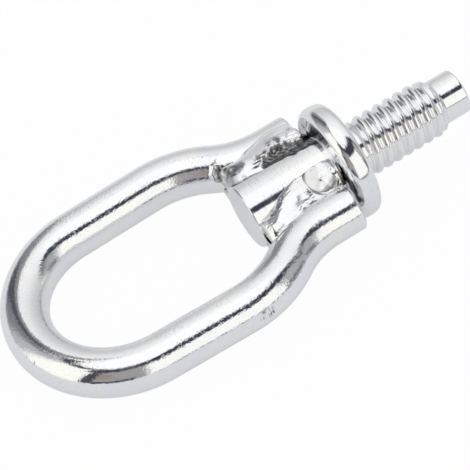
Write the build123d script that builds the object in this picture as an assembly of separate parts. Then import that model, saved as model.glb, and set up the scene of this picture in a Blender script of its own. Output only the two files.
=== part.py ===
from build123d import *
from math import asin, cos, pi, radians, sin, sqrt
import os

os.makedirs("parts", exist_ok=True)

# A screw-in tow eye: a round bar bent into an eye and welded to a stud with a collar and a coarse thread.
# Origin: centre of the collar's seating face. +X runs along the stud to its nose.
# The eye lies in the XY plane.

# Eye
bar_diameter = 14.0
eye_width = 42.6                # clear width inside the eye, at its widest
crown_inner_radius = 20.6       # inside radius of the crown bend
crown_reach = 112.2             # from the seating face back to the outside of the crown
shoulder_radius = 30.0          # centreline radius of the bend from side to neck
leg_radius = 28.0               # centreline radius of the bend from neck to leg
leg_length = 8.5                # straight end of each leg
leg_chamfer = 0.5
leg_gap = 2.05                  # from a leg's cut end to the collar
fit_gap = 0.05                  # between a leg and the core it lies against

# Stud
core_diameter = 20.0
core_length = 28.35             # from the collar's back to the core's end
core_chamfer = 0.6
core_fillet = 0.5               # at the root of the collar
collar_diameter = 36.0
collar_thickness = 7.15
collar_rim_round = 3.2          # round of the rim towards the flat back
collar_edge_drop = 0.85         # how far inside the rim the flat back ends
collar_seat_round = 2.8
neck_diameter = 15.0
neck_length = 3.2
nose_diameter = 13.7
nose_length = 7.9
nose_chamfer = 0.6

# Left-hand thread
thread_diameter = 17.6
thread_pitch = 3.5
thread_length = 26.8
thread_depth = 1.25
thread_tip_diameter = 16.3      # over the low crests of the last turn
thread_tip_length = 2.4
thread_tip_taper = 1.2
groove_mouth = 2.8              # width of the groove at the crests
groove_floor = 0.24
groove_turn = 261.9             # direction of the groove where it leaves the neck, in degrees from +Y
flank_steps = 8                 # spans in the rounded line from a groove's floor to its crest

# Welds between the legs and the core
weld_root = 1.5                 # height above the legs' line of contact where a weld begins
weld_bite = 0.4                 # how far a weld's edges run into the metal it joins
weld_bulge = 0.9                # rise of a weld's surface between its edges
weld_bulge_heavy = 1.5          # the same, for the heavy weld at the top left
weld_back = 0.8                 # from the core's end to a weld's start
weld_spread = 3.0               # length over which a weld underneath spreads to full width
weld_spread_top = 13.5          # the same, for a weld on top
weld_round = 2.0                # length over which a weld rounds off at its stop
weld_stop = 3.65                # from the collar's back to the stop of a weld underneath
weld_stop_top = 0.6             # the same, for the top right weld
weld_gap_edge = 12.0            # how far out the heavy weld closes the gap behind its leg
weld_spans = 8                  # spans along a weld between its drawn sections
round_spans = 4                 # the same, along the round at its stop
core_toe = 38.0                 # edge of a full weld on the core, in degrees from the top
core_toe_heavy = 18.0           # the same, for the heavy weld
core_toe_top = 27.0             # the same, for the top right weld
leg_toe = 18.0                  # edge of a full weld on a leg, in degrees from the top
leg_toe_heavy = 2.0
leg_toe_top = 30.0
end_toe = 62.0                  # both edges at a weld's thin ends
button_radius = 5.6             # round button at the stop of the top right weld
button_height = 9.8
button_back = 6.15              # from the collar's back to the button's middle
button_inset = 1.9              # from the core's side to the button's middle

bar_radius = bar_diameter / 2
core_radius = core_diameter / 2
collar_radius = collar_diameter / 2
neck_radius = neck_diameter / 2
nose_radius = nose_diameter / 2
thread_radius = thread_diameter / 2
thread_tip_radius = thread_tip_diameter / 2
collar_back = -collar_thickness
core_end = collar_back - core_length
thread_end = neck_length + thread_length
nose_end = thread_end + nose_length
leg_end = collar_back - leg_gap
leg_offset = core_radius + bar_radius + fit_gap
side_offset = eye_width / 2 + bar_radius
crown_radius = crown_inner_radius + bar_radius
crown_centre = crown_radius + bar_radius - crown_reach


def bend_centres():
    """Centres of the leg bend and of the shoulder bend, two arcs that touch and turn opposite ways."""
    leg_centre = Vector(leg_end - leg_length, leg_offset + leg_radius)
    rise = leg_centre.Y - side_offset + shoulder_radius
    run = sqrt((leg_radius + shoulder_radius) ** 2 - rise ** 2)
    return leg_centre, Vector(leg_centre.X - run, side_offset - shoulder_radius)


def leg_offset_at(x):
    """Distance of the leg's centreline from the stud's axis, on its straight end or its first bend."""
    leg_centre, _ = bend_centres()
    along = min(0, x - leg_centre.X)
    return leg_centre.Y - sqrt(leg_radius ** 2 - along ** 2)


def half_path():
    """Centreline of one half of the bar, from a leg's cut end to the start of the crown."""
    leg_centre, shoulder_centre = bend_centres()
    leg_start = Vector(leg_end, leg_offset)
    bend_start = Vector(leg_centre.X, leg_offset)
    touch = leg_centre + (shoulder_centre - leg_centre).normalized() * leg_radius
    # The side is the outer tangent that the shoulder bend and the crown share
    between = Vector(crown_centre, 0) - shoulder_centre
    along = between.normalized()
    across = Vector(along.Y, -along.X)
    lean = asin((shoulder_radius - crown_radius) / between.length)
    outward = along * sin(lean) + across * cos(lean)
    side_start = shoulder_centre + outward * shoulder_radius
    side_end = Vector(crown_centre, 0) + outward * crown_radius
    leg = Line(leg_start, bend_start)
    leg_bend = RadiusArc(bend_start, touch, leg_radius)
    shoulder_bend = RadiusArc(touch, side_start, -shoulder_radius)
    return Curve() + [leg, leg_bend, shoulder_bend, Line(side_start, side_end)], side_end


def eye_loop():
    """The bar: one round section carried along the whole bent path, with its cut ends broken."""
    half, crown_start = half_path()
    crown_tip = Vector(crown_centre - crown_radius, 0)
    crown = ThreePointArc(crown_start, crown_tip, Vector(crown_start.X, -crown_start.Y))
    path = half + crown + mirror(half, about=Plane.XZ)
    section = Plane(origin=(leg_end, leg_offset, 0), z_dir=(-1, 0, 0)) * Circle(bar_radius)
    bar = sweep(section, path=path)
    return chamfer(bar.edges().group_by(Axis.X)[-1], leg_chamfer)


def turned(*points):
    """Solid of revolution about X from its outline points (x, radius)."""
    return revolve(make_face(Polyline(*points, close=True)), axis=Axis.X)


def head():
    """Core, collar and neck, turned in one piece. The collar's flat back ends in an edge at its round rim."""
    edge_radius = collar_radius - collar_edge_drop
    rim_start = collar_back + sqrt(collar_rim_round ** 2 - (collar_rim_round - collar_edge_drop) ** 2)
    core_side = FilletPolyline(
        (core_end, 0),
        (core_end, core_radius - core_chamfer),
        (core_end + core_chamfer, core_radius),
        (collar_back, core_radius),
        (collar_back, edge_radius),
        radius=[0, 0, core_fillet],
    )
    rim = RadiusArc((collar_back, edge_radius), (rim_start, collar_radius), collar_rim_round)
    seat_side = FilletPolyline(
        (rim_start, collar_radius),
        (0, collar_radius),
        (0, neck_radius),
        (neck_length, neck_radius),
        (neck_length, 0),
        radius=[collar_seat_round, 0, 0],
    )
    axis = Line((neck_length, 0), (core_end, 0))
    return revolve(make_face(Curve() + [core_side, rim, seat_side, axis]), axis=Axis.X)


def nose():
    """Plain pilot that leads the thread into its socket."""
    return turned(
        (thread_end, 0),
        (thread_end, nose_radius),
        (nose_end - nose_chamfer, nose_radius),
        (nose_end, nose_radius - nose_chamfer),
        (nose_end, 0),
    )


def thread_section():
    """Thread cut square to its axis: a full turn round the section is one pitch along the thread."""
    root_radius = thread_radius - thread_depth
    floor_half = groove_floor / 2
    mouth_half = groove_mouth / 2
    steps = [step / flank_steps for step in range(flank_steps + 1)]

    def point(radius, along):
        turn = 2 * pi * along / thread_pitch
        return radius * cos(turn), radius * sin(turn)

    def flank(side):
        halves = [floor_half + (mouth_half - floor_half) * step for step in steps]
        radii = [root_radius + thread_depth * step ** 2 * (3 - 2 * step) for step in steps]
        return Spline(*[point(radius, side * half) for radius, half in zip(radii, halves)])

    floor = ThreePointArc(point(root_radius, -floor_half), (root_radius, 0), point(root_radius, floor_half))
    crest_ends = point(thread_radius, mouth_half), point(thread_radius, -mouth_half)
    crest = ThreePointArc(crest_ends[0], (-thread_radius, 0), crest_ends[1])
    return make_face(Curve() + [floor, flank(1), crest, flank(-1)])


def thread():
    """The section turned left-handed once a pitch, bevelled down to the neck and to the nose."""
    section = Plane.YZ.offset(neck_length) * Rot(0, 0, groove_turn) * thread_section()
    twist = -360 * thread_length / thread_pitch
    rod = Solid.extrude_linear_with_rotation(
        section.face().outer_wire(), (neck_length, 0, 0), (thread_length, 0, 0), twist
    )
    clear = thread_radius + thread_depth
    neck_bevel = thread_radius - neck_radius
    neck_ring = turned(
        (neck_length + neck_bevel, thread_radius),
        (neck_length, neck_radius),
        (neck_length - neck_bevel, neck_radius),
        (neck_length - neck_bevel, clear),
        (neck_length + neck_bevel, clear),
    )
    tip_start = thread_end - thread_tip_length
    nose_bevel = thread_tip_radius - nose_radius
    nose_ring = turned(
        (tip_start - thread_tip_taper, thread_radius),
        (tip_start, thread_tip_radius),
        (thread_end - nose_bevel, thread_tip_radius),
        (thread_end, nose_radius),
        (thread_end + nose_bevel, nose_radius),
        (thread_end + nose_bevel, clear),
        (tip_start - thread_tip_taper, clear),
    )
    return rod - neck_ring - nose_ring


def threaded_stud():
    """The stud, one piece from the core between the legs to the nose."""
    return head() + thread() + nose()


def weld_section(x, core_angle, leg_angle, bulge):
    """Section of a weld between the core and the leg at +Y, above the legs' line of contact."""
    core_grip = core_radius - weld_bite
    leg_grip = bar_radius - weld_bite
    leg_y = leg_offset_at(x)
    core_edge = Vector(core_grip * sin(radians(core_angle)), core_grip * cos(radians(core_angle)))
    leg_edge = Vector(leg_y - leg_grip * sin(radians(leg_angle)), leg_grip * cos(radians(leg_angle)))
    leg_root = Vector(leg_y - sqrt(leg_grip ** 2 - weld_root ** 2), weld_root)
    core_root = Vector(sqrt(core_grip ** 2 - weld_root ** 2), weld_root)
    across = (leg_edge - core_edge).normalized()
    top = (core_edge + leg_edge) / 2 + Vector(-across.Y, across.X) * bulge
    outline = ThreePointArc(core_edge, top, leg_edge) + Polyline(leg_edge, leg_root, core_root, core_edge)
    return Plane.YZ.offset(x) * make_face(outline)


def weld_bead(core_angle, leg_angle, bulge, spread, stop, rounding):
    """Weld metal before it is cut to the pieces it joins: it spreads from its start, then rounds off."""
    start = core_end + weld_back
    full_end = stop - rounding
    stations = []
    for span in range(weld_spans + 1):
        along = (full_end - start) * span / weld_spans
        stations.append((start + along, min(1, along / spread)))
    if rounding:
        ended = [step / round_spans for step in range(1, round_spans + 1)]
        stations += [(full_end + rounding * share, sqrt(1 - share ** 2)) for share in ended]
    sections = []
    for x, size in stations:
        core_edge = end_toe + (core_angle - end_toe) * size
        leg_edge = end_toe + (leg_angle - end_toe) * size
        sections.append(weld_section(x, core_edge, leg_edge, bulge * (1 + size) / 2))
    return loft(sections, ruled=True)


def heavy_weld():
    """Weld run out to the collar, cleared from the outer part of the gap behind its leg."""
    bead = weld_bead(core_toe_heavy, leg_toe_heavy, weld_bulge_heavy, weld_spread_top, collar_back, 0)
    outer_gap = Box(leg_gap, bar_diameter, core_diameter)
    return bead - Pos(leg_end + leg_gap / 2, weld_gap_edge + bar_radius, 0) * outer_gap


def weld_button():
    """Round button of weld metal, open below at the weld's root."""
    middle = Vector(collar_back - button_back, core_radius - button_inset, button_height - button_radius)
    above = Plane.XY.offset(weld_root)
    return split(Pos(middle) * Sphere(button_radius), bisect_by=above, keep=Keep.TOP)


def build():
    """All pieces by node name. Left is +Y, top is +Z."""
    loop = eye_loop()
    stud = threaded_stud()
    under_stop = collar_back - weld_stop
    top_stop = collar_back - weld_stop_top
    under = weld_bead(core_toe, leg_toe, weld_bulge, weld_spread, under_stop, weld_round)
    top = weld_bead(core_toe_top, leg_toe_top, weld_bulge, weld_spread_top, top_stop, weld_round)
    top_right = mirror(top + weld_button(), about=Plane.XZ)
    bottom_left = mirror(under, about=Plane.XY)
    return {
        "eye_loop": loop,
        "threaded_stud": stud,
        "weld_top_left": heavy_weld() - stud - loop,
        "weld_top_right": top_right - stud - loop,
        "weld_bottom_left": bottom_left - stud - loop,
        "weld_bottom_right": mirror(bottom_left, about=Plane.XZ) - stud - loop,
    }


for name, piece in build().items():
    export_step(piece, f"parts/{name}.step")
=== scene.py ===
import bpy
import numpy as np
from mathutils import Matrix


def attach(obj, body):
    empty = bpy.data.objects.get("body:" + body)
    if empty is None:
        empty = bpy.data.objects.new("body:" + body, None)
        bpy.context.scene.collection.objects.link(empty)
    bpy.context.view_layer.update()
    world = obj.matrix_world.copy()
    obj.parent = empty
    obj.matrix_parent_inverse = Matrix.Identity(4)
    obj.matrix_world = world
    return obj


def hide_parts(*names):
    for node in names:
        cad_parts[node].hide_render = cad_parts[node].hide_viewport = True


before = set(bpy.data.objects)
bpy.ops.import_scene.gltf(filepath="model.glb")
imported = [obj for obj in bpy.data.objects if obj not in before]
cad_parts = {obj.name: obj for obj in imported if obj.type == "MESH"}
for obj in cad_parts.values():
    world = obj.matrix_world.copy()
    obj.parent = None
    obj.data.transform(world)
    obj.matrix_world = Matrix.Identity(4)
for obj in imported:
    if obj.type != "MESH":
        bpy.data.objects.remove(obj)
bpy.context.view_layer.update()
mm = 0.001  # shapes below are worked out in millimetres
scene = bpy.context.scene
scene.view_settings.view_transform = "Standard"
print("frame loaded:", sorted(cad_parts))


# Shader values as Python expressions: arithmetic on a Shade adds Math nodes
class Shade:
    def __init__(self, tree, socket=None):
        self.tree = tree
        self.socket = socket

    def add(self, kind, settings=None, sockets=None, out=0):
        node = self.tree.nodes.new(kind)
        for key, value in (settings or {}).items():
            setattr(node, key, value)
        for key, value in (sockets or {}).items():
            if isinstance(value, Shade):
                self.tree.links.new(value.socket, node.inputs[key])
            else:
                node.inputs[key].default_value = value
        return Shade(self.tree, node.outputs[out] if node.outputs else None)

    def out(self, name):
        return Shade(self.tree, self.socket.node.outputs[name])

    def maths(self, operation, first, second=0.0):
        return self.add("ShaderNodeMath", {"operation": operation}, {0: first, 1: second})

    def __add__(self, other):
        return self.maths("ADD", self, other)

    def __radd__(self, other):
        return self.maths("ADD", other, self)

    def __sub__(self, other):
        return self.maths("SUBTRACT", self, other)

    def __rsub__(self, other):
        return self.maths("SUBTRACT", other, self)

    def __mul__(self, other):
        return self.maths("MULTIPLY", self, other)

    def __rmul__(self, other):
        return self.maths("MULTIPLY", other, self)

    def rise(self, low, high):  # 0 below low, 1 above high, eased between
        eased = {"interpolation_type": "SMOOTHSTEP"}
        return self.add("ShaderNodeMapRange", eased, {0: self, 1: low, 2: high})

    def tint(self, under, over):  # colour under where the value is 0, over where it is 1
        return self.add("ShaderNodeMix", {"data_type": "RGBA"}, {0: self, 6: under, 7: over}, out=2)

    def noise(self, place, scale, detail, roughness):
        sockets = {"Vector": place, "Scale": scale, "Detail": detail, "Roughness": roughness}
        return self.add("ShaderNodeTexNoise", {}, sockets)


def opaque(colour):
    return (*colour, 1.0)


def freshTree(owner):
    owner.use_nodes = True
    owner.node_tree.nodes.clear()
    return Shade(owner.node_tree)


# Camera of the photograph
cameraView = {
    "place": (-0.16209, -0.41434, 0.49208),
    "right": (0.84295, -0.49648, -0.20723),
    "up": (0.50503, 0.59749, 0.62286),
    "focalPixels": 2300.0,
    "imagePixels": 470.0,
    "nearest": 0.01,
}


def buildCamera(settings):
    camera = bpy.data.objects.new("photoCamera", bpy.data.cameras.new("photoCamera"))
    right = np.array(settings["right"])
    right /= np.linalg.norm(right)
    up = np.array(settings["up"])
    up -= right * (up @ right)
    up /= np.linalg.norm(up)
    turn = np.eye(4)
    turn[:3, 0], turn[:3, 1], turn[:3, 2] = right, up, np.cross(right, up)
    turn[:3, 3] = settings["place"]
    camera.matrix_world = Matrix(turn.tolist())
    camera.data.lens = camera.data.sensor_width * settings["focalPixels"] / settings["imagePixels"]
    camera.data.clip_start = settings["nearest"]
    scene.collection.objects.link(camera)
    scene.camera = camera


buildCamera(cameraView)
print("camera placed")


# White room round the object
# Each panel or seam: azimuth from and to, elevation from and to (degrees), width of its soft edge, colour
studio = {
    "floorLine": (0.64, 0.665, 0.70),
    "floorBlend": (-3, 3),  # elevations between which the floor turns to wall
    "wallFoot": (0.61, 0.62, 0.63),
    "wallHead": (0.98, 0.98, 0.98),
    "wallBlend": (10, 66),
    "ceiling": (1.1, 1.1, 1.1),
    "ceilingBlend": (60, 72),
    "panels": [
        (-2, 66, -8, 7, 8, (0.50, 0.51, 0.53)),
        (142, 200, 4, 63, 10, (1.06, 1.06, 1.02)),
        (-200, -158, 4, 63, 4, (1.06, 1.06, 1.02)),
        (-160, -100, 4, 54, 3, (0.36, 0.345, 0.345)),
        (-146, -136, 22, 44, 8, (0.33, 0.27, 0.23)),
        (-160, -149, 3, 58, 3, (0.07, 0.07, 0.09)),
        (-160, -116, 3, 13, 4, (0.06, 0.06, 0.07)),
        (-46, -9, 8, 50, 16, (0.42, 0.43, 0.43)),
        (-20, -10, 22, 50, 6, (0.16, 0.17, 0.18)),
        (-104, -46, 2, 46, 7, (1.06, 1.05, 1.01)),
        (-112, -20, -1.5, 1.5, 1.5, (0.20, 0.205, 0.21)),
        (-46, -24, 2, 15, 4, (0.2, 0.2, 0.21)),
        (90, 142, 7, 58, 10, (0.22, 0.225, 0.245)),
        (94, 112, 9, 58, 5, (0.09, 0.095, 0.115)),
        (84, 97, 7, 60, 5, (0.26, 0.26, 0.27)),
        (130, 150, 7, 58, 14, (0.5, 0.5, 0.52)),
        (-170, -92, 52, 66, 5, (0.055, 0.058, 0.075)),
    ],
    # dark joints between wall and ceiling
    "seams": [
        (-96, -9, 46, 64, 5, (0.045, 0.05, 0.07)),
        (104, 205, 60, 66, 3, (0.05, 0.055, 0.075)),
        (-205, -165, 61, 66, 3, (0.05, 0.055, 0.075)),
    ],
}


def buildStudio(settings):
    world = bpy.data.worlds.new("whiteRoom")
    scene.world = world
    sheet = freshTree(world)
    direction = sheet.add("ShaderNodeTexCoord", out="Generated")
    parts = sheet.add("ShaderNodeSeparateXYZ", {}, {0: direction})
    azimuth = sheet.maths("ARCTAN2", parts.out("Y"), parts.out("X")) * np.degrees(1)
    elevation = sheet.maths("ARCSINE", parts.out("Z")) * np.degrees(1)
    wallFoot, wallHead = opaque(settings["wallFoot"]), opaque(settings["wallHead"])
    colour = elevation.rise(*settings["wallBlend"]).tint(wallFoot, wallHead)
    colour = elevation.rise(*settings["floorBlend"]).tint(opaque(settings["floorLine"]), colour)

    def hung(under, azFrom, azTo, elFrom, elTo, soft, paint):
        half = soft / 2
        inside = azimuth.rise(azFrom - half, azFrom + half) * (1 - azimuth.rise(azTo - half, azTo + half))
        inside = inside * elevation.rise(elFrom - half, elFrom + half)
        inside = inside * (1 - elevation.rise(elTo - half, elTo + half))
        return inside.tint(under, opaque(paint))

    for panel in settings["panels"]:
        colour = hung(colour, *panel)
    colour = elevation.rise(*settings["ceilingBlend"]).tint(colour, opaque(settings["ceiling"]))
    for seam in settings["seams"]:
        colour = hung(colour, *seam)
    room = sheet.add("ShaderNodeBackground", {}, {"Color": colour})
    white = sheet.add("ShaderNodeBackground", {}, {"Color": opaque((1, 1, 1))})
    seen = sheet.add("ShaderNodeLightPath", out="Is Camera Ray")
    mixed = sheet.add("ShaderNodeMixShader", {}, {0: seen, 1: room, 2: white})
    sheet.add("ShaderNodeOutputWorld", {}, {"Surface": mixed})


buildStudio(studio)
print("studio lit")


# Pale floor that touches the crown and the collar's rim
floor = {
    "colour": (0.90, 0.925, 0.97),
    "whiteShare": 0.97,  # how far the camera sees it as plain white
    "mirroredShare": 0.35,  # and how far the metal does
    "collarTouch": (-4.2, -18.0),  # x and z in millimetres
    "crownTouch": (-105.0, -7.0),
    "gap": 0.2,  # left under both, in millimetres
    "reach": 1.5,  # in metres
}


def buildFloor(settings):
    (collarX, collarZ), (crownX, crownZ) = settings["collarTouch"], settings["crownTouch"]
    slope = (crownZ - collarZ) / (crownX - collarX)
    edge = np.array([-1, 1]) * settings["reach"]
    x, y = np.meshgrid(edge, edge)
    z = (collarZ - settings["gap"]) * mm + slope * (x - collarX * mm)
    corners = np.stack([x, y, z], -1).reshape(-1, 3)
    mesh = bpy.data.meshes.new("floor")
    mesh.from_pydata(corners.tolist(), [], [(0, 1, 3, 2)])
    material = bpy.data.materials.new("paleFloor")
    sheet = freshTree(material)
    matt = sheet.add("ShaderNodeBsdfDiffuse", {}, {"Color": opaque(settings["colour"])})
    white = sheet.add("ShaderNodeEmission", {}, {"Color": opaque((1, 1, 1)), "Strength": 1.0})
    path = sheet.add("ShaderNodeLightPath", out="Is Camera Ray")
    seen = path * settings["whiteShare"] + path.out("Is Glossy Ray") * settings["mirroredShare"]
    mixed = sheet.add("ShaderNodeMixShader", {}, {0: seen, 1: matt, 2: white})
    sheet.add("ShaderNodeOutputMaterial", {}, {"Surface": mixed})
    mesh.materials.append(material)
    plane = bpy.data.objects.new("floor", mesh)
    scene.collection.objects.link(plane)


buildFloor(floor)
print("floor laid")


# Bright zinc plating
zinc = {
    "cool": (0.89, 0.90, 0.925),
    "warm": (0.93, 0.925, 0.91),
    "crystal": (0.84, 0.85, 0.87),
    "grime": (0.04, 0.04, 0.045),
    "blackest": 0.95,  # most darkening that soot and painted shade reach
    "smoothest": 0.06,
    "dullest": 0.13,
    "grimeDull": 0.55,
    "satinDull": 0.32,
    "scarDepth": 0.015,  # of the specks and ticks in a scarred patch
    # noises: scale, detail, roughness
    "grainNoise": (1.0, 0.6, 0.5),
    "lumpNoise": (700.0, 2.0, 0.5),
    # patterns: the same, then the noise where the pattern begins and where it is full
    "cloudPattern": (130.0, 3.0, 0.5, 0.35, 0.65),
    "glossPattern": (420.0, 4.0, 0.6, 0.35, 0.75),
    "crystalPattern": (0.95, 3.0, 0.5, 0.25, 0.5),
    "fleckPattern": (0.75, 1.0, 0.5, 0.62, 0.72),  # tiny pimples
    "scarPattern": (0.5, 1.0, 0.5, 0.48, 0.56),
}
# each finish: heights of the grain, the lumps and the flecks, and how close the scars lie each way
finishes = {
    "bar": {"grain": 0.034, "lump": 0.008, "fleck": 0.012, "scarLay": (1.6, 0.3, 0.3)},
    "stud": {"grain": 0.021, "lump": 0.004, "fleck": 0.011, "scarLay": (1.0, 0.25, 0.25)},
    "weld": {"grain": 0.03, "lump": 0.03, "fleck": 0.01, "scarLay": (0.5, 1.0, 1.0)},
}


def zincPlate(name, settings, finish):
    # cloudy tint with darker crystals, patchy gloss, and a bump of grain, flecks, soft lumps and scars
    material = bpy.data.materials.new(name)
    sheet = freshTree(material)

    def layer(title, out="Fac"):
        return sheet.add("ShaderNodeAttribute", {"attribute_name": title}, out=out)

    def pattern(title, where):
        *noise, begins, full = settings[title]
        return sheet.noise(where, *noise).rise(begins, full)

    place = sheet.add("ShaderNodeTexCoord", out="Object")
    worked = layer("grainPlace", "Vector")  # runs the way the piece was worked
    laid = sheet.add("ShaderNodeVectorMath", {"operation": "MULTIPLY"}, {0: worked, 1: finish["scarLay"]})
    marks = layer("scar") * pattern("scarPattern", laid)
    grime = sheet.maths("MAXIMUM", layer("grime"), marks)
    colour = pattern("cloudPattern", place).tint(opaque(settings["cool"]), opaque(settings["warm"]))
    colour = pattern("crystalPattern", worked).tint(opaque(settings["crystal"]), colour)
    # the grime layer darkens the colour with real soot and with painted shade
    colour = grime.tint(colour, opaque(settings["grime"]))
    smooth, dull = settings["smoothest"], settings["dullest"]
    gloss = smooth + pattern("glossPattern", place) * (dull - smooth)
    gloss = gloss + grime * (settings["grimeDull"] - dull) + layer("satin") * (settings["satinDull"] - dull)
    grain = sheet.noise(worked, *settings["grainNoise"]) * finish["grain"]
    flecks = pattern("fleckPattern", worked) * finish["fleck"]
    lumps = sheet.noise(place, *settings["lumpNoise"]) * finish["lump"]
    height = (grain + flecks) * (1 - layer("polish")) + lumps - marks * settings["scarDepth"]
    bump = sheet.add("ShaderNodeBump", {}, {"Strength": 1.0, "Distance": mm, "Height": height})
    sockets = {"Base Color": colour, "Metallic": 1.0, "Roughness": gloss, "Normal": bump}
    shader = sheet.add("ShaderNodeBsdfPrincipled", {}, sockets)
    sheet.add("ShaderNodeOutputMaterial", {}, {"Surface": shader})
    return material


barZinc = zincPlate("barZinc", zinc, finishes["bar"])
studZinc = zincPlate("studZinc", zinc, finishes["stud"])
weldZinc = zincPlate("weldZinc", zinc, finishes["weld"])
print("zinc mixed")


# Shapes
def ease(low, high, value):  # 0 below low, 1 above high, eased between
    t = np.clip((value - low) / (high - low), 0, 1)
    return t * t * (3 - 2 * t)


def swirl(points, wavelength, seed, waves=9, spread=(0.7, 1.5)):
    # smooth noise of about -1 to 1: sine waves of a spread of lengths in random directions, added up
    rng = np.random.default_rng(seed)
    heading = rng.normal(size=(waves, 3))
    heading /= np.linalg.norm(heading, axis=1, keepdims=True)
    pace = 2 * np.pi / (wavelength * rng.uniform(*spread, waves))
    phase = rng.uniform(0, 2 * np.pi, waves)
    return np.sin(points @ (heading * pace[:, None]).T + phase).sum(-1) / np.sqrt(waves)


def waver(points, amount, wavelength, seed):
    return amount * swirl(points, wavelength, seed)


def blobs(x, y, table):
    # sum of round bumps, each (x, y, radius, amount), falling off as a bell
    cx, cy, radius, amount = np.array(table, float).T
    away = ((x[..., None] - cx) ** 2 + (y[..., None] - cy) ** 2) / radius**2
    return (amount * np.exp(-away)).sum(-1)


def patchy(points, table, edge=(0.15, 1.6, 51), solid=0.55):
    # strongest of the patches, each (x, y, z, reach, amount), full to a share of its reach, with a wavy edge
    wavy = 1 + waver(points, *edge)
    strongest = np.zeros(points.shape[:-1])
    for *place, reach, amount in table:
        away = np.linalg.norm(points - place, axis=-1) * wavy
        strongest = np.maximum(strongest, amount * (1 - ease(solid * reach, reach, away)))
    return strongest


def ringSkin(name, rings, material, slot, node, grain, **layers):
    # rings of points joined row to row, with a fan of triangles to a middle point at each end
    rows, columns, _ = rings.shape
    ends = np.stack([rings[0].mean(0), rings[-1].mean(0)])
    points = np.concatenate([rings.reshape(-1, 3), ends])
    index = np.arange(rows * columns).reshape(rows, columns)
    beside = np.roll(index, -1, axis=1)
    quads = np.stack([index[:-1], beside[:-1], beside[1:], index[1:]], -1).reshape(-1, 4)
    pole = np.full(columns, rows * columns)
    first = np.stack([pole, beside[0], index[0]], -1)
    last = np.stack([pole + 1, index[-1], beside[-1]], -1)
    a, b, c, d = (points[quads[:, k]] for k in range(4))
    volume = (np.cross(b - a, d - a) * a).sum() + (np.cross(d - c, b - c) * c).sum()
    faces = quads.tolist() + first.tolist() + last.tolist()
    if volume < 0:
        faces = [face[::-1] for face in faces]
    mesh = bpy.data.meshes.new(name)
    mesh.from_pydata((points * mm).tolist(), [], faces)
    mesh.polygons.foreach_set("use_smooth", np.ones(len(faces), bool))
    for layer in ("grime", "satin", "scar", "polish"):
        values = layers.get(layer, np.zeros((rows, columns)))
        spread = np.append(values.reshape(-1), values[[0, -1], 0])
        mesh.attributes.new(layer, "FLOAT", "POINT").data.foreach_set("value", spread.astype(np.float32))
    lay = np.concatenate([grain.reshape(-1, 3), grain[[0, -1], 0]]).astype(np.float32)
    mesh.attributes.new("grainPlace", "FLOAT_VECTOR", "POINT").data.foreach_set("vector", lay.reshape(-1))
    mesh.materials.append(material)
    piece = bpy.data.objects.new(name, mesh)
    scene.collection.objects.link(piece)
    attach(piece, "root")
    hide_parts(node)
    print(name, "made,", len(faces), "faces")


# Eye: round bar bent into a loop
eye = {
    "barRadius": 7.0,
    "legEnd": -9.2,
    "legLength": 8.5,
    "legOffset": 17.05,
    "legRadius": 28.0,
    "shoulderRadius": 30.0,
    "sideOffset": 28.3,
    "crownRadius": 27.6,
    "crownCentre": -77.6,
    "cutRound": 0.5,
    "cutSoot": 0.3,  # the cut ends are duller
    "cutFade": (0.1, 0.4),  # distances from the end over which that fades
    "step": 0.45,
    "around": 120,
    "grain": (0.5, 0.5),  # length along and round the bar, in millimetres
    "polish": ((-88.0, -74.0), (2.0, 16.0), 0.5),  # part of the crown rubbed smooth: x, -y, amount
    # weld spatter: place, reach along and round the bar, width (share of reach) and height of its rim, soot
    "drips": [(-34.3, 15.8, 4.3, 1.7, 2.6, 0.3, 0.7, 0.75)],
    "dripWaver": (0.12, 1.4, 21),  # of its outline: amount, wavelength, seed
    "dripMottle": (0.35, 0.9, 23),  # of its soot
    "dripFade": (0.6, 0.95),  # shares of its reach over which the soot fades
    # scarred patches: place, reach, amount
    "scars": [
        (-23.3, -21.2, 6.1, 1.3, 0.9),
        (-21.4, -21.0, 6.0, 1.3, 0.9),
        (-49.6, -34.5, 2.9, 1.0, 0.7),
        (-47.2, -34.6, 2.3, 0.9, 0.6),
        (-50.4, -35.2, 1.0, 0.9, 0.5),
        (-47.9, -35.0, 0.5, 1.0, 0.7),
        (-46.6, -34.8, 0.8, 0.8, 0.8),
        (-109.8, -6.9, 4.6, 0.9, 0.9),
        (-109.3, -9.2, 4.5, 0.8, 0.7),
    ],
}


def eyeBends(settings):
    # centres of the leg bend and the shoulder bend, which touch, and the way from them out to the straight side
    legFoot = settings["legEnd"] - settings["legLength"]
    leg = np.array([legFoot, settings["legOffset"] + settings["legRadius"]])
    shoulderY = settings["sideOffset"] - settings["shoulderRadius"]
    apart = settings["legRadius"] + settings["shoulderRadius"]
    shoulder = np.array([leg[0] - np.sqrt(apart**2 - (leg[1] - shoulderY) ** 2), shoulderY])
    between = np.array([settings["crownCentre"], 0.0]) - shoulder
    length = np.hypot(*between)
    lean = np.arcsin((settings["shoulderRadius"] - settings["crownRadius"]) / length)
    outward = np.arctan2(-between[0], between[1]) + lean
    return leg, shoulder, outward


def legLine(x, followed=0.95):
    # distance of a leg's centreline from the stud's axis: level, then an arc, followed for most of its radius
    leg, _, _ = eyeBends(eye)
    along = np.clip(x - leg[0], -eye["legRadius"] * followed, 0)
    return leg[1] - np.sqrt(eye["legRadius"] ** 2 - along**2)


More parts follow.
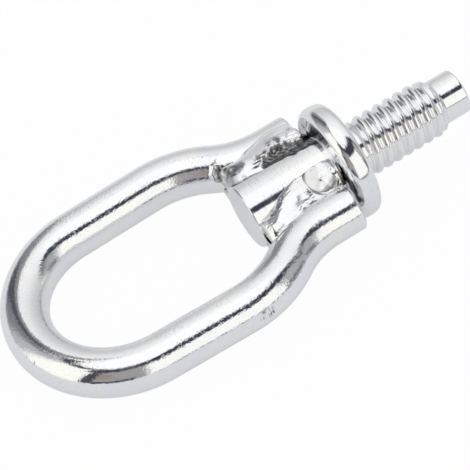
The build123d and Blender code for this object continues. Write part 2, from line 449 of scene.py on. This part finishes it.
def eyePath(settings):
    # centreline from one cut end round to the other: a line or arc at a time, in even steps
    leg, shoulder, outward = eyeBends(settings)
    crown = np.array([settings["crownCentre"], 0.0])
    toShoulder = np.arctan2(shoulder[1] - leg[1], shoulder[0] - leg[0])

    def line(start, end):
        steps = max(2, int(np.hypot(*(end - start)) / settings["step"]))
        return start + (end - start) * np.linspace(0, 1, steps, endpoint=False)[:, None]

    def arc(middle, radius, fromTurn, toTurn):
        steps = max(2, int(abs(toTurn - fromTurn) * radius / settings["step"]))
        turn = np.linspace(fromTurn, toTurn, steps, endpoint=False)
        return middle + radius * np.stack([np.cos(turn), np.sin(turn)], -1)

    away = np.array([np.cos(outward), np.sin(outward)])
    legTip = np.array([settings["legEnd"], settings["legOffset"]])
    legFoot = np.array([leg[0], settings["legOffset"]])
    half = np.concatenate([
        line(legTip, legFoot),
        arc(leg, settings["legRadius"], -np.pi / 2, toShoulder),
        arc(shoulder, settings["shoulderRadius"], toShoulder + np.pi, outward),
        line(shoulder + away * settings["shoulderRadius"], crown + away * settings["crownRadius"]),
        arc(crown, settings["crownRadius"], outward, np.pi),
    ])
    tip = crown + np.array([[-settings["crownRadius"], 0.0]])
    return np.concatenate([half, tip, half[::-1] * np.array([1, -1])])


def buildEye(settings):
    # a circle carried along the path; both ends are rounded over where they were cut
    path = eyePath(settings)
    heading = np.gradient(path, axis=0)
    heading /= np.linalg.norm(heading, axis=1, keepdims=True)
    sideways = np.stack([heading[:, 1], -heading[:, 0]], -1)
    travel = np.append(0, np.cumsum(np.linalg.norm(np.diff(path, axis=0), axis=1)))
    toEnd = np.minimum(travel, travel[-1] - travel)
    cut = settings["cutRound"]
    inset = np.clip(cut - toEnd, 0, cut)
    radius = settings["barRadius"] - cut + np.sqrt(cut**2 - inset**2)
    turn = np.linspace(0, 2 * np.pi, settings["around"], endpoint=False)
    out = radius[:, None] * np.sin(turn)
    up = radius[:, None] * np.cos(turn)
    rings = np.empty((len(path), len(turn), 3))
    rings[..., :2] = path[:, None, :] + sideways[:, None, :] * out[..., None]
    rings[..., 2] = up
    normal = np.concatenate([sideways[:, None, :] * np.sin(turn)[:, None], np.zeros_like(out)[..., None]], -1)
    normal[..., 2] = np.cos(turn)
    sootAndShade = np.repeat(settings["cutSoot"] * (1 - ease(*settings["cutFade"], toEnd))[:, None], len(turn), 1)
    for *place, reachAlong, reachRound, width, height, amount in settings["drips"]:
        offset = rings - place
        along = (offset[..., :2] * heading[:, None, :]).sum(-1)
        aside = np.sqrt(np.clip((offset**2).sum(-1) - along**2, 0, None))
        away = np.hypot(along / reachAlong, aside / reachRound) * (1 + waver(rings, *settings["dripWaver"]))
        rings = rings + normal * (height * np.exp(-(((away - 1) / width) ** 2)))[..., None]
        mottled = np.clip(amount + waver(rings, *settings["dripMottle"]), 0, zinc["blackest"])
        sootAndShade = np.maximum(sootAndShade, mottled * (1 - ease(*settings["dripFade"], away)))
    scar = patchy(rings, settings["scars"])
    lengthwise, crosswise = settings["grain"]
    grain = np.zeros_like(rings)
    grain[..., 0] = travel[:, None] / lengthwise
    grain[..., 1] = settings["barRadius"] * np.cos(turn) / crosswise
    grain[..., 2] = settings["barRadius"] * np.sin(turn) / crosswise
    polishX, polishY, polish = settings["polish"]
    polish = polish * (1 - ease(*polishX, rings[..., 0])) * ease(*polishY, -rings[..., 1])
    ringSkin("eyeBar", rings, barZinc, "bar_steel", "eye_loop", grain, grime=sootAndShade, scar=scar, polish=polish)


buildEye(eye)


# Stud: turned core, collar and neck, rolled left-hand thread, plain nose
stud = {
    "coreEnd": -35.5,
    "coreRadius": 10.0,
    "coreRound": 0.55,
    "collarRoot": 0.5,  # fillet between core and collar
    "collarBack": -7.15,
    "collarRadius": 18.0,
    "rimTop": -4.2,  # highest line of the collar's rim
    "rimBack": 3.2,  # radius of its back edge
    "rimDrop": 2.6,  # how far it falls to the front face
    "rimPower": 3.0,  # how square the front edge is
    "neckRadius": 7.5,
    "neckRoot": 0.35,
    "threadStart": 3.2,
    "threadEnd": 30.0,
    "threadRadius": 8.8,
    "threadDepth": 1.18,
    "pitch": 3.5,
    "grooveTurn": 261.9,  # degrees from +Y where the groove leaves the neck
    "crestRound": 1.24,
    "flankAngle": 50.0,  # degrees from the stud's axis
    "tipRadius": 8.15,  # over the low crests of the last turn
    "tipFrom": (26.4, 27.6),  # where the crests come down to that
    "noseRadius": 6.85,
    "noseEnd": 37.9,
    "noseRound": 0.6,
    "endHub": 0.5,  # radius of the small fan in the middle of both ends
    "around": 200,
    "threadRows": 300,
    "grain": (0.3, 2.5),  # length along the stud and round it
    "threadPolish": 0.8,  # rolling left the thread smoother than the turned faces
    "longest": 0.6,  # between outline points
    # painted shade in the corners where the leg ends, welds and core meet the collar's back: place, reach,
    # amount
    "sootAndShade": [
        (-7.2, -12.6, 5.6, 2.6, 0.95),
        (-7.2, -14.6, 3.4, 2.8, 0.95),
        (-7.2, -16.2, 0.8, 2.0, 0.95),
        (-7.2, 11.2, 8.2, 1.3, 0.6),
        (-7.4, 8.6, 7.0, 2.0, 0.9),
    ],
}


def roundedLine(corners, longest, arcSteps=9, guard=0.15):
    # outline through corners (x, radius, rounding): each an arc, with a support point beside both its ends
    corners = np.array(corners, float)
    spots = corners[:, :2]
    line = [spots[:1]]
    for before, here, after, bend in zip(spots[:-2], spots[1:-1], spots[2:], corners[1:-1, 2]):
        inward = (before - here) / np.linalg.norm(before - here)
        onward = (after - here) / np.linalg.norm(after - here)
        half = np.arccos(np.clip(inward @ onward, -1, 1)) / 2
        reach = bend / np.tan(half)
        bisector = (inward + onward) / np.linalg.norm(inward + onward)
        middle = here + bisector * bend / np.sin(half)
        start, end = here + inward * reach - middle, here + onward * reach - middle
        share = np.linspace(0, 1, arcSteps)[:, None]
        sweep = np.pi - 2 * half
        arc = (start * np.sin((1 - share) * sweep) + end * np.sin(share * sweep)) / np.sin(sweep)
        line += [here + [inward * (reach + guard)], middle + arc, here + [onward * (reach + guard)]]
    line = np.concatenate(line + [spots[-1:]])
    run = np.append(0, np.cumsum(np.linalg.norm(np.diff(line, axis=0), axis=1)))
    evenly = np.union1d(run, np.arange(0, run[-1], longest))
    return np.stack([np.interp(evenly, run, line[:, k]) for k in range(2)], -1)


def threadRadius(x, turn, settings):
    # left-hand thread: round crest, straight flanks and flat floor once a pitch, tapered off at both ends
    pitches = (x - settings["threadStart"]) / settings["pitch"]
    phase = pitches + (turn - np.radians(settings["grooveTurn"])) / (2 * np.pi)
    fromCrest = (0.5 - np.abs(phase - np.round(phase))) * settings["pitch"]
    bend, flank = settings["crestRound"], np.radians(settings["flankAngle"])
    onCrest = np.minimum(fromCrest, bend * np.sin(flank))
    drop = bend - np.sqrt(bend**2 - onCrest**2) + (fromCrest - onCrest) * np.tan(flank)
    radius = settings["threadRadius"] - np.minimum(drop, settings["threadDepth"])
    crest, tip = settings["threadRadius"], settings["tipRadius"]
    leadIn = settings["neckRadius"] + (x - settings["threadStart"])
    lowered = crest - (crest - tip) * ease(*settings["tipFrom"], x)
    leadOut = np.minimum(lowered, settings["noseRadius"] + settings["threadEnd"] - x)
    return np.minimum(np.minimum(radius, leadIn), leadOut)


def collarRim(settings, steps=16):
    # an arc from the flat back up to the rim's highest line, then a quarter superellipse down to the front
    top, crest = settings["rimTop"], settings["collarRadius"]
    bend, drop = settings["rimBack"], settings["rimDrop"]
    lean = np.linspace(np.arcsin((top - settings["collarBack"]) / bend), 0, steps)
    behind = np.stack([top - bend * np.sin(lean), crest - bend * (1 - np.cos(lean))], -1)
    angle = np.linspace(0, np.pi / 2, steps)[1:]
    along, out = np.sin(angle) ** (2 / settings["rimPower"]), np.cos(angle) ** (2 / settings["rimPower"])
    before = np.stack([top - top * along, crest - drop * (1 - out)], -1)
    return np.concatenate([behind, before])


def buildStud(settings):
    # the outline turned about X, with the thread's own radius between the neck and the nose
    back = settings["collarBack"]
    core, collar, neck = settings["coreRadius"], settings["collarRadius"], settings["neckRadius"]
    rim = collarRim(settings)
    face = roundedLine([
        (settings["coreEnd"], settings["endHub"], 0),
        (settings["coreEnd"], core, settings["coreRound"]),
        (back, core, settings["collarRoot"]),
        (back, rim[0, 1], 0),
    ], settings["longest"])
    shank = roundedLine([
        (0, collar - settings["rimDrop"], 0),
        (0, neck, settings["neckRoot"]),
        (settings["threadStart"], neck, 0),
    ], settings["longest"])
    head = np.concatenate([face, rim[1:-1], shank])
    nose = roundedLine([
        (settings["threadEnd"], settings["noseRadius"], 0),
        (settings["noseEnd"], settings["noseRadius"], settings["noseRound"]),
        (settings["noseEnd"], settings["endHub"], 0),
    ], settings["longest"])
    turn = np.linspace(0, 2 * np.pi, settings["around"], endpoint=False)
    threadX = np.linspace(settings["threadStart"], settings["threadEnd"], settings["threadRows"])[1:-1]
    x = np.concatenate([head[:, 0], threadX, nose[:, 0]])
    wound = threadRadius(threadX[:, None], turn[None, :], settings)
    plainHead, plainNose = (np.repeat(line[:, 1:2], len(turn), axis=1) for line in (head, nose))
    radius = np.concatenate([plainHead, wound, plainNose])
    rings = np.stack([np.repeat(x[:, None], len(turn), 1), radius * np.cos(turn), radius * np.sin(turn)], -1)
    lengthwise, crosswise = settings["grain"]
    grain = rings / crosswise
    grain[..., 0] = (rings[..., 0] + radius) / lengthwise
    # painted shade in the corners by the collar, carried in the grime layer
    sootAndShade = patchy(rings, settings["sootAndShade"])
    rolled = (rings[..., 0] > settings["threadStart"]) & (rings[..., 0] < settings["threadEnd"])
    polish = settings["threadPolish"] * rolled
    ringSkin("turnedStud", rings, studZinc, "stud_steel", "threaded_stud", grain, grime=sootAndShade, polish=polish)


buildStud(stud)


# Welds between the legs and the core
weld = {
    "rowStep": 0.16,
    "across": 84,
    "down": 10,
    "root": 1.5,  # height of its foot over the legs' line of contact
    "bite": 0.4,
    "coreRadius": stud["coreRadius"],
    "barRadius": eye["barRadius"],
    "skin": 0.04,  # least cover over the core and the leg
    "endToe": 62.0,  # toes at the very ends, in degrees
    "grain": (1.1, 0.4, 0.4),  # the streaks run along the weld
    "toeEase": 0.12,  # share of the width at each toe over which the relief comes in
    "pitSoot": 1.2,
    "waver": (0.06, 4.0),  # slow unevenness: height and wavelength
    "edgeWaver": (0.28, 2.2),  # of a hollow's edges
    "edgeTear": (0.05, 0.7),
    "walls": (0.6, 0.9),  # width of a hollow's sides, at the core and at the leg
    "crumple": (0.76, 0.24, 0.8, 0.4),  # its painted shade: middle, swing, wavelength, least
    "crumpleStretch": (0.6, 1, 1),
    "foot": (0.95, 0.9, 1.8),  # painted shade strip beside the core: amount, where it begins to fade and is gone
    "streakStretch": (0.45, 1, 1),
    "satin": 0.2,
    "domeSatin": 0.5,
    "domePower": 6,  # the higher, the flatter its top
    "domeWaver": (0.02, 2.5, 31),
    "shadeSide": (0.9, 0.44),  # which way from the middle the dome's painted shade lies
}
# each station: x, toe on the core and toe on the leg (degrees from the top), rise between the toes
# each line of the hollow: x, y from and to, depth; lumps, stains, pits, scars and wrinkles: x, y, reach, amount
farWeld = {
    "stations": [
        (-34.8, 42, 62, 0.8),
        (-33.8, 39, 53, 2.0),
        (-32.6, 38, 48, 2.4),
        (-31.0, 36, 44, 2.4),
        (-27.0, 28, 27, 1.9),
        (-24.0, 23, 15, 1.5),
        (-21.0, 21, 6, 1.3),
        (-18.0, 18, -3, 1.2),
        (-15.0, 12, -4, 1.1),
        (-12.0, 10, 0, 1.1),
        (-9.6, 11, 4, 1.1),
        (-8.7, 11, 40, 0.6),
        (-7.2, 11, 48, 0.4),
    ],
    "start": -34.8,
    "stop": -7.2,
    "swell": (0.6, 0.0),
    "lumps": [(-28.0, 9.5, 3.0, 0.2), (-14.6, 11.6, 2.6, 0.5), (-11.0, 10.6, 2.2, 0.7)],
    "lean": 1.0,
    "stains": [(-33.5, 9.4, 1.5, 0.5), (-33.4, 6.6, 1.4, 0.45), (-31.9, 8.4, 0.8, 0.6)],
    "hollow": [
        (-25.0, 4.6, 5.0, 0.0),
        (-24.2, 3.6, 5.8, 1.2),
        (-22.4, 3.0, 8.0, 1.8),
        (-20.7, 3.0, 8.6, 2.0),
        (-19.5, 3.0, 9.2, 2.0),
        (-18.6, 3.0, 10.2, 2.0),
        (-17.5, 3.0, 10.8, 2.0),
        (-16.2, 2.4, 9.2, 2.0),
        (-15.0, 2.2, 8.9, 2.0),
        (-13.3, 2.0, 7.4, 2.0),
        (-12.0, 1.9, 7.2, 2.0),
        (-10.2, 1.9, 7.8, 2.4),
        (-9.4, 1.9, 8.2, 2.8),
        (-8.4, 1.9, 10.4, 3.2),
        (-7.2, 1.9, 11.4, 3.2),
    ],
    "pits": [
        (-33.0, 11.6, 0.9, 0.35),
        (-31.6, 9.6, 0.8, 0.3),
        (-11.3, 12.4, 0.5, 0.4),
        (-9.0, 12.7, 0.5, 0.5),
    ],
    "scars": [
        (-26.0, 6.2, 1.0, 1.0),
        (-24.6, 7.2, 1.0, 1.0),
        (-23.0, 8.3, 1.0, 1.0),
        (-21.3, 9.2, 0.9, 0.9),
        (-11.3, 11.9, 0.8, 1.0),
        (-10.2, 12.3, 0.7, 1.0),
        (-8.9, 12.8, 0.7, 1.0),
        (-33.4, 8.6, 1.9, 0.8),
        (-31.8, 8.4, 0.8, 0.8),
    ],
    "wrinkles": [
        (-24.0, 8.4, 1.3, 1.0),
        (-19.0, 7.0, 3.5, 1.0),
        (-13.0, 5.5, 4.0, 1.0),
        (-8.6, 6.5, 3.0, 1.0),
    ],
    "wrinkleDepth": 0.14,
    "wrinkleLength": 0.9,
    "seed": 4,
}
nearWeld = {
    "stations": [
        (-34.7, 62, 62, 0.7),
        (-33.0, 61, 52, 1.4),
        (-30.5, 56, 42, 1.4),
        (-28.0, 46, 34, 1.1),
        (-26.4, 39, 31, 0.9),
        (-23.0, 32, 28, 0.65),
        (-19.7, 27, 28, 0.5),
        (-15.8, 28, 32, 0.3),
        (-13.0, 26, 36, 0.2),
        (-9.0, 26, 40, 0.2),
        (-7.3, 27, 46, 0.2),
    ],
    "start": -34.7,
    "stop": -7.3,
    "swell": (1.2, 0.8),
    "stains": [
        (-30.0, 9.2, 1.2, 0.15),
        (-22.6, 5.4, 0.22, 0.8),
        (-21.2, 5.1, 0.2, 0.7),
        (-19.6, 4.9, 0.22, 0.8),
        (-17.8, 4.9, 0.2, 0.7),
        (-13.9, 8.9, 0.4, 0.9),
    ],
    "lumps": [(-8.6, 8.4, 2.4, 1.1), (-23.0, 9.0, 3.0, 0.15)],
    "lean": 0.65,  # below 1 the bead stands nearer the core
    "pits": [(-26.0, 7.2, 0.4, 0.2)],
    "scars": [
        (-22.6, 12.8, 1.2, 0.9),
        (-20.6, 12.4, 1.2, 0.9),
        (-26.6, 7.4, 0.9, 0.6),
        (-30.0, 9.0, 1.2, 0.5),
        (-19.5, 5.2, 0.7, 0.5),
        (-13.2, 8.3, 0.6, 0.9),
        (-15.0, 5.0, 0.7, 0.9),
        (-13.6, 4.7, 0.7, 0.9),
    ],
    "wrinkles": [
        (-33.4, 10.8, 1.4, 1.0),
        (-31.0, 10.0, 1.5, 1.0),
        (-28.5, 8.8, 1.5, 1.0),
        (-26.2, 7.6, 1.4, 1.0),
        (-23.4, 6.4, 1.2, 0.8),
        (-20.4, 5.4, 1.0, 0.6),
        (-23.0, 12.9, 1.2, 0.9),
        (-20.8, 12.5, 1.2, 0.9),
        (-18.9, 12.4, 0.9, 0.7),
    ],
    "wrinkleDepth": 0.05,
    "wrinkleLength": 0.7,
    "dome": (-13.3, 8.1, 5.1, 0.9),  # x, y, radius, height of the round button at the weld's stop
    "domeHalfShade": (0.3, 0.9, 0.13),  # painted shade on one side of the dome: distance from the middle where it begins and is full, amount
    "seed": 9,
}
underWeld = {
    "stations": [(-34.7, 40, 45, 0.6), (-22.0, 38, 22, 0.9), (-10.0, 38, 16, 0.9)],
    "start": -34.7,
    "stop": -10.8,
    "swell": (3.0, 3.0),
    "stains": [(-31.0, 9.5, 1.6, 0.4), (-13.0, 11.5, 1.4, 0.4)],
    "lumps": [(-30.0, 10.0, 3.0, 0.2), (-16.0, 11.0, 3.0, 0.25)],
    "lean": 1.0,
    "pits": [(-12.2, 11.0, 0.9, 0.4)],
    "scars": [(-30.0, 9.0, 1.5, 0.5), (-14.0, 12.0, 1.5, 0.5)],
    "wrinkles": [(-22.0, 10.0, 14.0, 1.0)],
    "wrinkleDepth": 0.03,
    "wrinkleLength": 1.5,
    "seed": 15,
}


def softened(values, width=7):  # running mean along the weld
    padded = np.pad(values, width // 2, mode="edge")
    return np.convolve(padded, np.ones(width) / width, mode="valid")


def pushedOut(points, middle, radius):  # points inside a circle move out to it
    away = points - middle
    distance = np.linalg.norm(away, axis=-1, keepdims=True)
    return middle + away * np.maximum(1, radius / np.maximum(distance, 1e-6))


def weldFullness(x, own):
    # 0 at the weld's ends and 1 between, rising as a quarter circle over each swell
    lead, tail = own["swell"]
    full = np.sqrt(1 - (1 - np.clip((x - own["start"]) / lead, 0, 1)) ** 2)
    if tail:
        full = full * np.sqrt(1 - (1 - np.clip((own["stop"] - x) / tail, 0, 1)) ** 2)
    return full


def weldHollow(place, settings, own):
    # trough between two ragged lines along the weld: its depth and the painted shade in it
    x, y, seed = place[:, 0, 0], place[..., 1], own["seed"]
    hollowX, *lines = np.array(own["hollow"], float).T
    low, high, depth = (np.interp(x, hollowX, line)[:, None] for line in lines)
    ragged = y + waver(place, *settings["edgeWaver"], seed + 2)
    ragged = ragged + waver(place, *settings["edgeTear"], seed + 3)
    coreWall, legWall = settings["walls"]
    inside = ease(low, low + coreWall, ragged) * (1 - ease(high - legWall, high, ragged))
    middle, swing, wavelength, least = settings["crumple"]
    crumpled = middle + waver(place * settings["crumpleStretch"], swing, wavelength, seed + 4)
    crumpled = np.clip(crumpled, least, 1)
    amount, fades, gone = settings["foot"]
    foot = amount * (1 - ease(low + fades, low + gone, ragged))
    return inside * depth, inside * np.maximum(crumpled, foot)


def weldDome(place, settings, own):
    # round button, flat in the middle and steep at its rim: its height, where it lies and the painted shade on
    # one side of it
    x, y = place[..., 0], place[..., 1]
    domeX, domeY, reach, height = own["dome"]
    away = np.hypot(x - domeX, y - domeY) / reach
    cap = height * np.sqrt(1 - np.clip(away, 0, 1) ** settings["domePower"])
    cap = cap + waver(place, *settings["domeWaver"])
    begins, full, amount = own["domeHalfShade"]
    sideX, sideY = settings["shadeSide"]
    halfShade = amount * ease(begins, full, sideX * (domeX - x) + sideY * (domeY - y))
    return cap, away < 1, halfShade


def weldRelief(place, t, full, rise, settings, own):
    # height over the chord between the toes: an arch with lumps and wrinkles on it and pits and hollows in it
    x, y, seed = place[..., 0], place[..., 1], own["seed"]
    margin = settings["toeEase"]
    held = ease(0, margin, t) * ease(0, margin, 1 - t) * full[:, None]
    pits = blobs(x, y, own["pits"])
    sootAndShade = settings["pitSoot"] * pits + blobs(x, y, own["stains"])
    leaned = t ** own["lean"]
    lift = rise[:, None] * 4 * leaned * (1 - leaned) * full[:, None]
    lift = lift + held * (blobs(x, y, own["lumps"]) - pits + waver(place, *settings["waver"], seed))
    if "hollow" in own:
        # the hollow's painted shade joins the darkening
        depth, hollowShade = weldHollow(place, settings, own)
        lift, sootAndShade = lift - depth, sootAndShade + hollowShade
    wrinkled = np.clip(blobs(x, y, own["wrinkles"]), 0, 1) * own["wrinkleDepth"]
    lift = lift + held * waver(place * settings["streakStretch"], wrinkled, own["wrinkleLength"], seed + 1)
    satin = np.full_like(x, settings["satin"])
    if "dome" in own:
        cap, within, halfShade = weldDome(place, settings, own)
        onDome = within & (cap > lift)
        lift = np.where(onDome, cap, lift)
        # painted shade on one side of the dome joins the darkening
        sootAndShade, satin = sootAndShade + onDome * halfShade, satin + onDome * settings["domeSatin"]
    return lift, np.clip(sootAndShade, 0, zinc["blackest"]), satin


def buildWeld(name, node, settings, own, sideways, upward):
    # a section at each x: the relief over the chord between its toes, and a foot that bites into leg and core
    x = np.arange(own["start"], own["stop"] + settings["rowStep"] / 2, settings["rowStep"])
    stationX, *tracks = np.array(own["stations"], float).T
    coreToe, legToe, rise = (softened(np.interp(x, stationX, track)) for track in tracks)
    full, endToe = weldFullness(x, own), settings["endToe"]
    coreTurn, legTurn = (np.radians(endToe + (toe - endToe) * full) for toe in (coreToe, legToe))
    legY = legLine(x)
    core, bar, skin = settings["coreRadius"], settings["barRadius"], settings["skin"]
    coreEdge = np.stack([core * np.sin(coreTurn), core * np.cos(coreTurn)], -1)
    legEdge = np.stack([legY - bar * np.sin(legTurn), bar * np.cos(legTurn)], -1)
    chord = legEdge - coreEdge
    normal = np.stack([-chord[:, 1], chord[:, 0]], -1) / np.linalg.norm(chord, axis=1, keepdims=True)
    t = np.linspace(0, 1, settings["across"])
    flat = coreEdge[:, None] + chord[:, None] * t[None, :, None]
    xx = np.repeat(x[:, None], len(t), 1)
    place = np.stack([xx, flat[..., 0], np.zeros_like(xx)], -1)
    lift, sootAndShade, satin = weldRelief(place, t, full, rise, settings, own)
    top = flat + normal[:, None] * lift[..., None]
    top = pushedOut(top, np.zeros(2), core + skin)
    alongLeg = (x < eye["legEnd"])[:, None, None]
    legMiddle = np.stack([legY, np.zeros_like(legY)], -1)[:, None]
    top = np.where(alongLeg, pushedOut(top, legMiddle, bar + skin), top)
    share = np.linspace(0, 1, settings["down"])
    legGrip, coreGrip = bar - settings["bite"], core - settings["bite"]
    legRoot, coreRoot = np.arccos(settings["root"] / legGrip), np.arccos(settings["root"] / coreGrip)
    legSide = legTurn[:, None] + (legRoot - legTurn)[:, None] * share
    coreSide = coreRoot + (coreTurn - coreRoot)[:, None] * share
    under = np.concatenate([
        np.stack([legY[:, None] - legGrip * np.sin(legSide), legGrip * np.cos(legSide)], -1),
        np.stack([coreGrip * np.sin(coreSide), coreGrip * np.cos(coreSide)], -1),
    ], axis=1)
    section = np.concatenate([top, under], axis=1)
    rings = np.concatenate([np.repeat(x[:, None, None], section.shape[1], 1), section], -1)
    rings = rings * np.array([1, sideways, upward])
    scar = np.clip(blobs(xx, flat[..., 0], own["scars"]), 0, 1)
    below = np.zeros(under.shape[:2])
    sootAndShade, satin, scar = (np.concatenate([values, below], axis=1) for values in (sootAndShade, satin, scar))
    grain = rings / settings["grain"]
    ringSkin(name, rings, weldZinc, "weld_metal", node, grain, grime=sootAndShade, satin=satin, scar=scar)


buildWeld("weldFarTop", "weld_top_left", weld, farWeld, 1, 1)
buildWeld("weldNearTop", "weld_top_right", weld, nearWeld, -1, 1)
buildWeld("weldFarUnder", "weld_bottom_left", weld, underWeld, 1, -1)
buildWeld("weldNearUnder", "weld_bottom_right", weld, underWeld, -1, -1)
